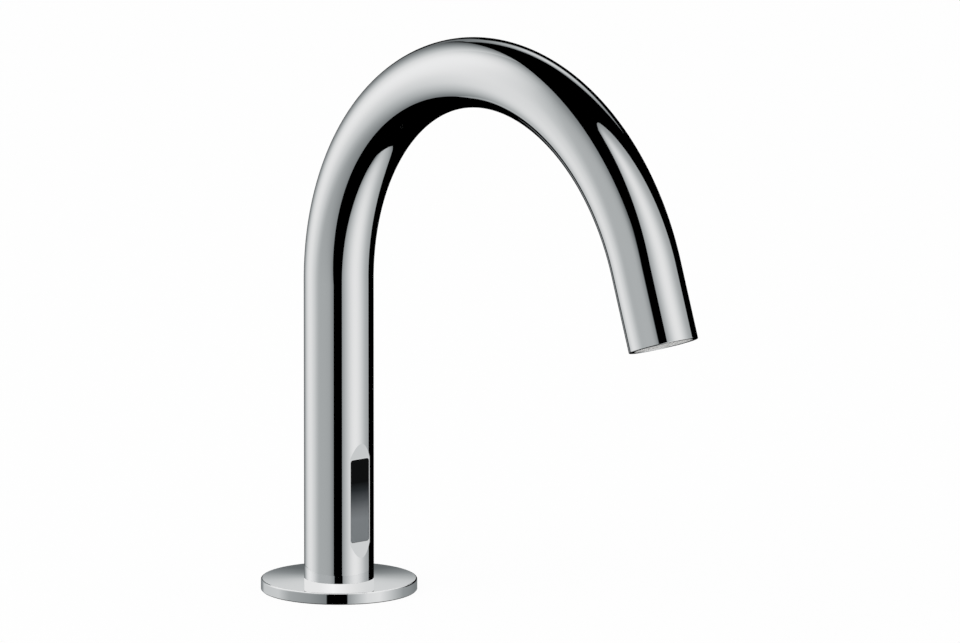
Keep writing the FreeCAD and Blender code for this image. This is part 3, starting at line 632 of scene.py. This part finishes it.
def spout_tube(material):
    points = []
    stations = spout_stations()
    for distance, radius in stations:
        centre, direction, side = path_at(distance)
        across = direction.cross(side)
        points += round_points(centre, side, across, radius, tube_count, offset=0.5)
    mesh = new_mesh("spout_shell", points, ring_faces(len(stations), tube_count))
    piece = add_object("spout_shell", mesh, material)
    cut(piece, [flat_cutter(), window_cutter()])
    set_spout_normals(piece.data)
    return piece


def flat_cutter():
    """The milling cutter's path: a flat with a sloped run-out at each end."""
    half = window_half_height + flat_margin
    low, high = window_z - half, window_z + half
    far_x = tube_r + tube_wall
    spread = flat_runout * (far_x - flat_x) / (tube_r - flat_x)
    corners = [(flat_x, low), (far_x, low - spread), (far_x, high + spread), (flat_x, high)]
    points = [Vector((x, tube_r, z)) for x, z in corners]
    return prism("flat_cutter", points, Vector((0, -2 * tube_r, 0)))


def window_cutter():
    """Rounded rectangle through the front wall."""
    half_y, half_z = window_half_width - window_corner, window_half_height - window_corner
    points = []
    for quarter, (sy, sz) in enumerate(((1, 1), (-1, 1), (-1, -1), (1, -1))):
        for k in range(corner_steps + 1):
            a = math.pi / 2 * (quarter + k / corner_steps)
            y = sy * half_y + window_corner * math.cos(a)
            z = window_z + sz * half_z + window_corner * math.sin(a)
            points.append(Vector((flat_x / 2, y, z)))
    return prism("window_cutter", points, Vector((tube_r, 0, 0)))


def set_spout_normals(mesh):
    """Exact normals on the walls, flat ones on milled faces, smooth ones round the tip's edge."""
    mesh.polygons.foreach_set("use_smooth", [True] * len(mesh.polygons))
    mesh.set_sharp_from_angle(angle=tip_crease)
    corner_vertex = np.array([loop.vertex_index for loop in mesh.loops])
    places = np.array([v.co for v in mesh.vertices], float)
    face_of = np.zeros(len(mesh.loops), np.int32)
    for p in mesh.polygons:
        face_of[p.loop_start : p.loop_start + p.loop_total] = p.index
    face_normal = np.array([p.normal for p in mesh.polygons])
    face_centre = np.array([p.center for p in mesh.polygons])
    smooth = np.array([c.vector for c in mesh.corner_normals])

    tip_edge = (face_centre - np.array(tip_end)) @ np.array(outlet_axis) > -tip_edge_reach
    tip_edge &= face_centre[:, 0] > bend_radius
    away, side = from_centreline(face_centre)
    on_wall = np.minimum(abs(away - tube_r), abs(away - tube_inner_r)) < wall_slack
    outward = np.where(on_wall, (side * face_normal).sum(1), 0)
    outside, inside = outward > wall_match, outward < -wall_match

    wall = from_centreline(places)[1][corner_vertex]
    kinds = [kind[face_of][:, None] for kind in (tip_edge, outside, inside)]
    set_normals(mesh, np.select(kinds, [smooth, wall, -wall], face_normal[face_of]))


# --------------------------------------------------------------------------------------------------
# Disc and shank
# --------------------------------------------------------------------------------------------------

disc_count = 320  # points round it
shank_count = 96
shank_rows_per_turn = 12
shank_crease = math.radians(30)


def deck_disc(material):
    """The disc: its rounded rim, its recess for the shank's flange and its gasket's groove."""
    corners = [
        (disc_r - disc_foot_bevel, 0, disc_fine_round),
        (disc_r, disc_foot_bevel, disc_fine_round),
        (disc_r, disc_rim_height, disc_edge_round),
        (ring_seat_r, tube_foot_z, disc_fine_round),
        (ring_seat_r, ring_seat_z, 0),
        (disc_bore_r, ring_seat_z, 0),
        (disc_bore_r, flange_seat_z, 0),
        (flange_seat_r, flange_seat_z, 0),
        (flange_seat_r, 0, disc_fine_round),
        (gasket_seat_inner_r, 0, disc_fine_round),
        (gasket_seat_inner_r, gasket_seat_z, 0),
        (gasket_seat_outer_r, gasket_seat_z, 0),
        (gasket_seat_outer_r, 0, disc_fine_round),
    ]
    return turned_piece("disc_plate", corners, disc_count, material)


def thread_height(turns):
    """Depth of the thread below its crest, as a share, at a number of turns along its helix."""
    off = np.abs(turns % 1 - 0.5) * 2  # 0 in the middle of the root, 1 in the middle of the crest
    flank = (off - thread_root) / (1 - thread_crest - thread_root)
    return 1 - np.clip(flank, 0, 1)


def threaded_shank(material):
    """The hollow shank with its helical thread, which runs out below the flange."""
    turn = np.arange(shank_count) / shank_count
    around = np.stack([np.cos(2 * math.pi * turn), np.sin(2 * math.pi * turn)], 1)
    rings = []
    for z in np.arange(shank_low.z, shank_flange_low, thread_pitch / shank_rows_per_turn):
        depth = thread_depth * min((shank_flange_low - z) / thread_run_out, 1)
        radius = shank_r - depth * thread_height(z / thread_pitch - turn)
        rings.append((np.minimum(radius, shank_r - shank_end_bevel + z - shank_low.z), z))
    for r, z in (
        (shank_r, shank_flange_low),
        (shank_flange_r, shank_flange_low),
        (shank_flange_r, shank_flange_high),
        (spigot_r, shank_flange_high),
        (spigot_r, shank_high.z - thread_relief),
        (spigot_r - thread_relief, shank_high.z),
        (shank_bore_r, shank_high.z),
        (shank_bore_r, plug_seat_top),
        (plug_seat_r, plug_seat_top),
        (plug_seat_r, circlip_groove_high),
        (circlip_groove_r, circlip_groove_high),
        (circlip_groove_r, circlip_groove_low),
        (plug_seat_r, circlip_groove_low),
        (plug_seat_r, shank_low.z),
    ):
        rings.append((np.full(shank_count, r), z))
    points = [(r * c, r * s, z) for radius, z in rings for r, (c, s) in zip(radius, around)]
    mesh = new_mesh("shank_threaded", points, ring_faces(len(rings), shank_count))
    mesh.polygons.foreach_set("use_smooth", [True] * len(mesh.polygons))
    mesh.set_sharp_from_angle(angle=shank_crease)
    return add_object("shank_threaded", mesh, material)


# --------------------------------------------------------------------------------------------------
# Studio: cards and a black tent that only reflections see
# --------------------------------------------------------------------------------------------------
# Outlines are (across, up) and profiles are (place, level), in card distances from the card's own
# origin unless a comment says otherwise. Bearings are in degrees from the viewer's.

studio_centre = Vector((80 * MM, 0, 100 * MM))
card_distance = 5.0
card_steps = 96  # points round a ring, a flared card or the sleeve
glow_tints = [(0.0, (0.90, 1.0, 1.04)), (0.4, (0.955, 1.0, 1.01)), (0.8, (1, 1, 1))]  # by level

# The cloth on the left: even, with the lamp's hot spot behind it, and dimming at its near end
left_corner = 0.9  # how far behind the tap it ends
left_outline = [(-0.9, -1.37), (0, -1.36), (0.6, -1.29), (1.2, -1.2), (2.0, -1.03), (3.0, -0.75)]
left_outline += [(4.0, -0.5), (4.0, 2.12), (1.6, 2.07), (0.9, 2.13), (-0.2, 2.2), (-0.9, 2.28)]
cloth_across = [(-0.9, 0.44), (1.6, 0.44), (2.5, 0.35), (3.0, 0.33), (3.4, 0.28), (3.8, 0.1)]
cloth_across += [(4.0, 0.02)]
cloth_up = [(-1.4, 0.45), (-1.1, 0.54), (-0.6, 0.76), (-0.1, 0.96), (0.5, 1), (1.0, 0.87)]
cloth_up += [(1.4, 0.68), (2.1, 0.48)]
spot_across = [(-0.9, 0.29), (-0.65, 0.38), (-0.4, 0.43), (-0.15, 0.36), (0.1, 0.2), (0.3, 0.05)]
spot_across += [(0.5, 0.0)]
spot_up = [(-1.3, 0), (-0.9, 0.3), (-0.5, 0.7), (-0.1, 0.92), (0.4, 1), (0.9, 0.9), (1.4, 0.62)]
spot_up += [(1.8, 0.32), (2.2, 0.1)]

# The wall that runs back from the cloth's far end; it fades along its length
return_bearing = -173
return_length = 9.0
return_low, return_high = -1.38, 2.28
return_fade = 0.97  # the length in which its extra light falls to a third
return_extra, return_base = 0.51, 0.205
return_up = [(-1.4, 0.5), (-0.9, 0.68), (-0.3, 0.9), (0.3, 1), (1.0, 0.97), (1.7, 0.72), (2.3, 0.5)]

# The tall light ahead on the right, with a hot spot at its middle that spreads downwards
right_bearing = 60
right_outline = [(-0.5, 5.4), (-0.73, 3.8), (-0.87, 2.3), (-1.0, 1.0), (-1.15, 0), (-1.27, -1.8)]
right_outline += [(-1.66, -4.8), (-2.05, -10.5), (1.5, -12), (3.3, -17), (2.75, -7.2)]
right_outline += [(2.0, -2.9), (1.73, -1.45), (1.54, -0.6), (1.46, 0.4), (1.34, 1.2), (1.24, 2.8)]
right_outline += [(0.97, 4.3), (0.73, 5.0), (0.3, 5.4)]
right_across = [(-1.6, 0.2), (-1.1, 0.29), (-0.8, 0.35), (0, 0.37), (1.1, 0.37), (1.6, 0.33)]
right_across += [(3.0, 0.18)]
right_up = [(-12, 1.1), (-5, 1.1), (1.0, 1.0), (2.5, 0.9), (4.0, 0.8), (5.4, 0.6)]
right_spot_x = -0.06
right_spot_width = [(-12, 1.0), (-5, 0.95), (-3, 0.88), (-2, 0.8), (-1, 0.7), (0, 0.63), (1, 0.61)]
right_spot_width += [(5, 0.55)]
right_spot_up = [(-12, 0.08), (-5, 0.16), (-3, 0.27), (-2, 0.33), (-1, 0.41), (-0.3, 0.44)]
right_spot_up += [(1, 0.42), (2, 0.4), (3, 0.31), (4, 0.19), (5.4, 0.03)]

# The small light high behind the tap
back_bearing = 170
back_outline = [(-0.41, 0.40), (-0.41, 0.57), (-0.38, 0.67), (-0.31, 0.77), (-0.22, 0.84)]
back_outline += [(0.07, 0.83), (0.18, 0.8), (0.32, 0.75), (0.42, 0.68), (0.5, 0.6), (0.45, 0.49)]
back_outline += [(0.42, 0.36), (0.45, 0.27), (0.43, 0.17), (0.33, 0.17), (0.28, 0.27), (0.27, 0.40)]
back_spot_x, back_spot_width = -0.02, 0.3
back_spot_y, back_spot_height = 0.57, 0.2
back_spot_level, back_level = 0.54, 0.15

# Near the disc: what its top, its side and its rim mirror, too low or too close for the tube to see
# much of it. The strip stands behind the column, its places in millimetres from the column's foot.
strip_distance = 330 * MM
strip_outline = [(-36, 40), (36, 40), (36, 95), (-36, 95)]
strip_up = [(40, 0.14), (55, 0.14), (59, 0.18), (65, 0.33), (71, 0.52), (75.5, 0.62), (80, 0.66)]
strip_up += [(95, 0.68)]
low_ring_r = 30 * MM
low_ring_low, low_ring_high = -3 * MM, 3.2 * MM
low_ring_start, low_ring_end = -110, 120
low_ring_glow = [(-110, 0.2), (-97, 0.22), (-86, 0.58), (-57, 0.62), (-44, 0.39), (-24, 0.31)]
low_ring_glow += [(-10.2, 0.21), (-10, 0), (7.4, 0), (7.6, 0.31), (24, 0.73), (35, 0.78)]
low_ring_glow += [(54, 0.45), (63, 0.32), (90, 0.22), (120, 0.2)]  # by bearing
# The black lid over the disc: (radius, fall below its top) in millimetres
lid_fall = [(12.3, 0.55), (13, 1.05), (16, 2.15), (20, 3.2), (27, 4.85), (31, 6.05)]
rim_light_z = 30 * MM
rim_light_inner, rim_light_outer = 14 * MM, 52 * MM
rim_light_level = 0.9

# The collar round the column's foot stands for the white that the disc's top mirrors there.
collar_gap = 0.02 * MM
collar_r = tube_r + collar_gap
collar_height = 5 * MM
collar_across = [(-12, 0.82), (-7, 0.83), (-2, 0.94), (3.4, 0.815), (9.6, 0.71), (12, 0.7)]  # by mm

sleeve_gap = 0.05 * MM
tent_r = 60.0


def bearing(azimuth):
    """Level direction at an angle from the viewer's, positive to the viewer's right."""
    a = math.radians(azimuth)
    return viewer_right * math.sin(a) + towards_viewer * math.cos(a)


def left_light(s, x, y):
    cloth = s.math("MULTIPLY", s.profile(x, cloth_across), s.profile(y, cloth_up))
    spot = s.math("MULTIPLY", s.profile(x, spot_across), s.profile(y, spot_up))
    return s.math("ADD", cloth, spot)


def return_light(s, x, y):
    extra = s.math("EXPONENT", s.math("DIVIDE", x, -return_fade))
    fading = s.math("MULTIPLY_ADD", extra, return_extra, return_base)
    return s.math("MULTIPLY", fading, s.profile(y, return_up))


def right_light(s, x, y):
    base = s.math("MULTIPLY", s.profile(x, right_across), s.profile(y, right_up, "LINEAR"))
    spot = s.bell(x, right_spot_x, s.profile(y, right_spot_width))
    return s.math("MULTIPLY_ADD", spot, s.profile(y, right_spot_up), base)


def back_light(s, x, y):
    across, up = s.bell(x, back_spot_x, back_spot_width), s.bell(y, back_spot_y, back_spot_height)
    return s.math("MULTIPLY_ADD", s.math("MULTIPLY", across, up), back_spot_level, back_level)


def strip_light(s, x, y):
    return s.profile(y, strip_up)


def low_ring_light(s, x, y, z):
    angle = s.math("MULTIPLY", s.math("ARCTAN2", y, x), 180 / math.pi)
    return s.profile(angle, low_ring_glow, "LINEAR")


def collar_light(s, x, y, z):
    return s.profile(s.math("MULTIPLY", y, 1 / MM), collar_across, "LINEAR")


def steady(level):
    """The same brightness all over."""
    return lambda s, x, y, z: level


def glow_material(name, brightness, one_sided=False):
    """A glow whose level is brightness(shader, x, y, z) in the object's frame, cool where dim."""
    s = Shader(name)
    glow = s.node("Emission")
    level = brightness(s, *s.place())
    s.put(level, glow.inputs["Strength"])
    s.put(s.ramp(level, glow_tints), glow.inputs["Color"])
    s.show(s.front_only(glow.outputs[0]) if one_sided else glow.outputs[0])
    return s.data


def only_reflected(piece):
    piece.visible_camera = False
    piece.visible_diffuse = False
    piece.visible_shadow = False
    piece.visible_volume_scatter = False


def card(name, origin, across, points, brightness, unit):
    """An upright flat card; its points and its brightness are in units of a length."""

    def level(s, x, y, z):
        return brightness(s, s.math("DIVIDE", x, unit), s.math("DIVIDE", y, unit))

    corners = [(x * unit, y * unit, 0) for x, y in points]
    mesh = new_mesh(name, corners, [tuple(range(len(points)))])
    piece = add_object(name, mesh, glow_material(name, level))
    turn = Matrix((across, UP, across.cross(UP))).transposed().to_4x4()
    piece.matrix_world = Matrix.Translation(origin) @ turn
    only_reflected(piece)


def near_card(name, points, faces, brightness):
    """A one-sided card about the column; its x is towards the viewer, its y to their right."""
    glow = glow_material(name, brightness, one_sided=True)
    piece = add_object(name, new_mesh(name, points, faces), glow)
    piece.matrix_world = Matrix((towards_viewer, viewer_right, UP)).transposed().to_4x4()
    only_reflected(piece)


def ring_card(name, radius, heights, bearings, brightness):
    """Part of an upright ring, seen from outside, or from inside if its upper edge comes first."""
    start, end = bearings
    turns = [math.radians(start + (end - start) * k / card_steps) for k in range(card_steps + 1)]
    points = [(radius * math.cos(a), radius * math.sin(a), z) for z in heights for a in turns]
    above = card_steps + 1
    faces = [(k, k + 1, above + k + 1, above + k) for k in range(card_steps)]
    near_card(name, points, faces, brightness)


def flared_card(name, line, level):
    """A turned sheet along (radius, height) points, seen from above if they run outwards."""
    turns = [2 * math.pi * k / card_steps for k in range(card_steps)]
    points = [(r * math.cos(a), r * math.sin(a), z) for r, z in line for a in turns]
    faces = [face[::-1] for face in ring_faces(len(line), card_steps, closed=False)]
    near_card(name, points, faces, steady(level))


def make_sleeve():
    """Black sleeve close round the spout, seen only from outside: no part of it mirrors another."""
    points = []
    distances = [s for s, radius in spout_stations() if radius == tube_r and s > collar_height]
    for distance in distances:
        centre, direction, side = path_at(distance)
        across = direction.cross(side)
        points += round_points(centre, side, across, tube_r + sleeve_gap, card_steps)
    mesh = new_mesh("black_sleeve", points, ring_faces(len(distances), card_steps, closed=False))
    black = glow_material("black_sleeve", steady(0.0), one_sided=True)
    only_reflected(add_object("black_sleeve", mesh, black))


def make_tent():
    """Black tent round everything."""
    bpy.ops.mesh.primitive_ico_sphere_add(subdivisions=4, radius=tent_r, location=studio_centre)
    tent = bpy.context.object
    tent.name = "black_tent"
    tent.data.materials.append(glow_material("black_tent", steady(0.0)))
    only_reflected(tent)


def make_studio():
    d = card_distance
    left = studio_centre - viewer_right * d
    card("left_light", left, towards_viewer, left_outline, left_light, d)
    corner = left - towards_viewer * left_corner * d
    sides = [(x, return_low) for x in (0, return_length)]
    sides += [(x, return_high) for x in (return_length, 0)]
    card("return_light", corner, bearing(return_bearing), sides, return_light, d)
    for name, azimuth, points, brightness in (
        ("right_light", right_bearing, right_outline, right_light),
        ("back_light", back_bearing, back_outline, back_light),
    ):
        middle = studio_centre + bearing(azimuth) * d
        card(name, middle, bearing(azimuth + 90), points, brightness, d)
    behind = Vector((0, 0, tube_foot_z)) + bearing(180) * strip_distance
    card("strip_light", behind, bearing(-90), strip_outline, strip_light, MM)
    collar_top = tube_foot_z + collar_height
    heights = tube_foot_z + collar_gap, collar_top
    ring_card("foot_collar", collar_r, heights, (0, 360), collar_light)
    heights, bearings = (low_ring_high, low_ring_low), (low_ring_start, low_ring_end)
    ring_card("low_ring", low_ring_r, heights, bearings, low_ring_light)
    lid = [(collar_r, collar_top)] + [(r * MM, collar_top - fall * MM) for r, fall in lid_fall]
    flared_card("foot_lid", lid, 0.0)
    rim_light = [(rim_light_outer, rim_light_z), (rim_light_inner, rim_light_z)]
    flared_card("rim_light", rim_light, rim_light_level)
    make_sleeve()
    make_tent()


# --------------------------------------------------------------------------------------------------
# Floor and plain light
# --------------------------------------------------------------------------------------------------

floor_half = 6.0
floor_white = 0.9
floor_mottle = 0.01
floor_grain = 40.0
floor_glow = 0.94  # share of the floor's white that the camera sees without shadow

world_level = 0.85

lamp_bearing = -60
lamp_rise = 1.1  # for each metre along its bearing
lamp_distance = 3.0
lamp_size = 2.0
lamp_power = 22.0


def make_floor():
    """White table the disc stands on; it keeps a faint shadow, and from below it isn't there."""
    s = Shader("white_floor")
    paper = s.node("BsdfDiffuse")
    white = s.drift(s.noise(floor_grain), floor_white - floor_mottle, floor_white)
    s.link(white, paper.inputs["Color"])
    mix = s.node("MixShader")
    s.link(s.math("MULTIPLY", s.looked_at(), floor_glow), mix.inputs[0])
    s.link(paper.outputs[0], mix.inputs[1])
    s.link(s.node("Emission").outputs[0], mix.inputs[2])
    s.show(s.front_only(mix.outputs[0]))
    h = floor_half
    corners = [(-h, -h, 0), (h, -h, 0), (h, h, 0), (-h, h, 0)]
    floor = add_object("floor", new_mesh("floor", corners, [(0, 1, 2, 3)]), s.data)
    floor.visible_glossy = False


def make_world():
    """Plain light all round; white where the camera, glass or metal looks past everything."""
    s = Shader("plain_light", world=True)
    background = s.node("Background")
    background.inputs["Color"].default_value = (1, 1, 1, 1)
    s.link(s.between(s.looked_at(), world_level, 1.0), background.inputs["Strength"])
    s.show(background.outputs[0])
    bpy.context.scene.world = s.data


def make_lamp():
    """One soft lamp high on the left, for a little shape on what isn't metal."""
    lamp = bpy.data.lights.new("soft_lamp", "AREA")
    lamp.shape = "SQUARE"
    lamp.size = lamp_size
    lamp.energy = lamp_power
    holder = bpy.data.objects.new("soft_lamp", lamp)
    bpy.context.scene.collection.objects.link(holder)
    direction = (bearing(lamp_bearing) + UP * lamp_rise).normalized()
    holder.location = studio_centre + direction * lamp_distance
    holder.rotation_euler = direction.to_track_quat("Z", "Y").to_euler()
    holder.visible_glossy = False


# --------------------------------------------------------------------------------------------------
# Put together
# --------------------------------------------------------------------------------------------------


def dress():
    materials = finishes()
    slot_of = {part["node"]: part["material_slot"] for part in frame["record"]["subparts"]}
    for node, slot in slot_of.items():
        mesh = frame["nodes"][node].data
        mesh.materials.clear()
        mesh.materials.append(materials[slot])

    spout = spout_tube(materials["polished_chrome"])
    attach(spout, "tap_body")
    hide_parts("spout_tube")

    disc = deck_disc(materials["polished_chrome"])
    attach(disc, "tap_body")
    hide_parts("deck_disc")

    shank = threaded_shank(materials["turned_brass"])
    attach(shank, "tap_body")
    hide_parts("mounting_shank")


bpy.context.scene.view_settings.view_transform = "Standard"
make_camera()
make_world()
make_lamp()
make_floor()
make_studio()
dress()
